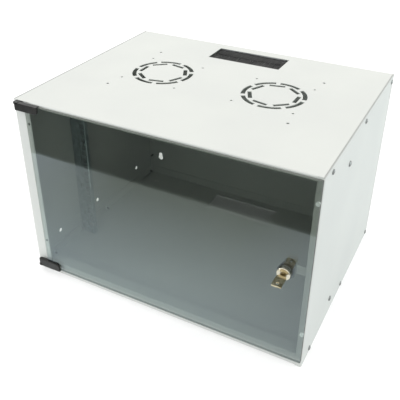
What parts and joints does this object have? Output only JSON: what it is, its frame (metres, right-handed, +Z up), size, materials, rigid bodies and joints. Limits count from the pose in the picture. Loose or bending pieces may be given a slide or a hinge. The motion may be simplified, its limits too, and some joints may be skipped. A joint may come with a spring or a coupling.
{
  "type": "rack cabinet",
  "caption": "Small wall-mounted 19-inch rack cabinet of folded sheet steel with a tinted glass door on corner hinges, a cam lock, fan grilles, a brush strip over the top cable entry and an open entry below.",
  "frame": {"origin": "middle of the underside of the bottom panel", "axes": "+X to the right as seen from the front, +Y to the wall, +Z up"},
  "size_m": [0.5244, 0.4425, 0.346],
  "materials": {
    "case_paint": "fine light grey powder coat",
    "rail_zinc": "galvanised sheet",
    "dark_screws": "dark satin screws",
    "zinc": "bright zinc plating",
    "brush_metal": "mill finish",
    "bristles": "black nylon bristles",
    "black_metal": "black satin paint",
    "black_plastic": "black moulded plastic",
    "bumper": "clear soft plastic",
    "tinted_glass": "grey tinted glass with polished edges",
    "lock_chrome": "chrome plate",
    "key_nickel": "nickel plate"
  },
  "bodies": {
    "cabinet": {"left_side_panel": "case_paint", "right_side_panel": "case_paint", "top_panel": "case_paint", "bottom_panel": "case_paint", "back_panel": "case_paint", "left_rail": "rail_zinc", "right_rail": "rail_zinc", "case_screws_left": "dark_screws", "case_screws_right": "dark_screws", "case_nuts_left": "case_paint", "case_nuts_right": "case_paint", "rail_bolts_left": "dark_screws", "rail_bolts_right": "dark_screws", "rail_nuts_left": "rail_zinc", "rail_nuts_right": "rail_zinc", "back_screws": "dark_screws", "top_front_brush_holder": "brush_metal", "top_rear_brush_holder": "brush_metal", "top_front_bristles": "bristles", "top_rear_bristles": "bristles", "top_brush_rivets": "case_paint", "upper_hinge_bracket": "black_metal", "lower_hinge_bracket": "black_metal", "upper_hinge_pin": "zinc", "lower_hinge_pin": "zinc", "bracket_rivets": "zinc", "door_bumpers": "bumper", "catch_bracket": "case_paint"},
    "door": {"glass_door": "tinted_glass", "upper_hinge_clip": "black_plastic", "lower_hinge_clip": "black_plastic", "upper_clip_plate": "black_metal", "lower_clip_plate": "black_metal", "clip_screws": "zinc", "lock_body": "lock_chrome", "lock_washer": "black_plastic", "lock_nut": "zinc"},
    "lock_plug": {"lock_plug": "lock_chrome", "lock_cam": "zinc", "cam_screw": "zinc"},
    "key": {"key": "key_nickel"}
  },
  "joints": [
    {"name": "door_hinge", "type": "hinge", "parent": "cabinet", "child": "door", "pos_m": [-0.2485, -0.2065, 0.173], "axis": [0, 0, -1], "range_deg": [0, 135]},
    {"name": "plug_turn", "type": "hinge", "parent": "door", "child": "lock_plug", "pos_m": [0.221, -0.2, 0.181], "axis": [0, -1, 0], "range_deg": [0, 90]},
    {"name": "key_slide", "type": "slide", "parent": "lock_plug", "child": "key", "axis": [0, -1, 0], "range_m": [0, 0.03]}
  ]
}
